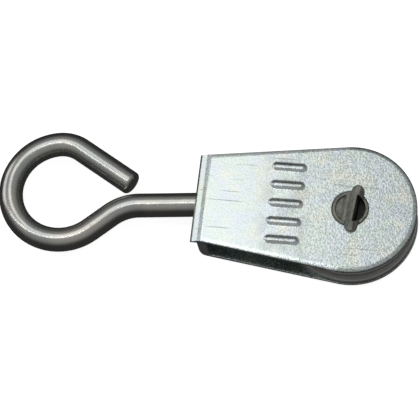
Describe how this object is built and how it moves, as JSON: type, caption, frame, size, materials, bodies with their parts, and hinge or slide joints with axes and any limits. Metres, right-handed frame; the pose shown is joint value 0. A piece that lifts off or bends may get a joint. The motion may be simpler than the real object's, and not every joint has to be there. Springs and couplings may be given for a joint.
{
  "type": "eye pulley",
  "caption": "Swivel eye pulley: a grooved wheel on a staked pin between the cheeks of a folded steel strap, hung by a bent wire eye.",
  "frame": {"origin": "on the pin's axis, halfway between the two cheeks", "axes": "+X from the bridge towards the strap's round end, +Z along the pin and out of the cheek with the beads, which is up when the pulley lies flat"},
  "size_m": [0.0839, 0.026, 0.0104],
  "materials": {
    "strap_plate": "bright zinc plate on cold-rolled strip, faintly mottled",
    "eye_wire": "bright zinc plate on drawn wire",
    "wheel_metal": "dull zinc plate",
    "pin_metal": "dull olive-grey zinc plate, crushed where it is staked"
  },
  "bodies": {
    "strap_body": {"housing": "strap_plate", "axle": "pin_metal"},
    "wheel_body": {"wheel": "wheel_metal"},
    "eye_body": {"eye": "eye_wire"}
  },
  "joints": [
    {"name": "wheel_spin", "type": "hinge", "parent": "strap_body", "child": "wheel_body", "pos_m": [0, 0, 0], "axis": [0, 0, 1], "continuous": true},
    {"name": "eye_swivel", "type": "hinge", "parent": "strap_body", "child": "eye_body", "pos_m": [-0.0293, 0, 0], "axis": [0.9954, 0.0958, 0], "continuous": true}
  ]
}
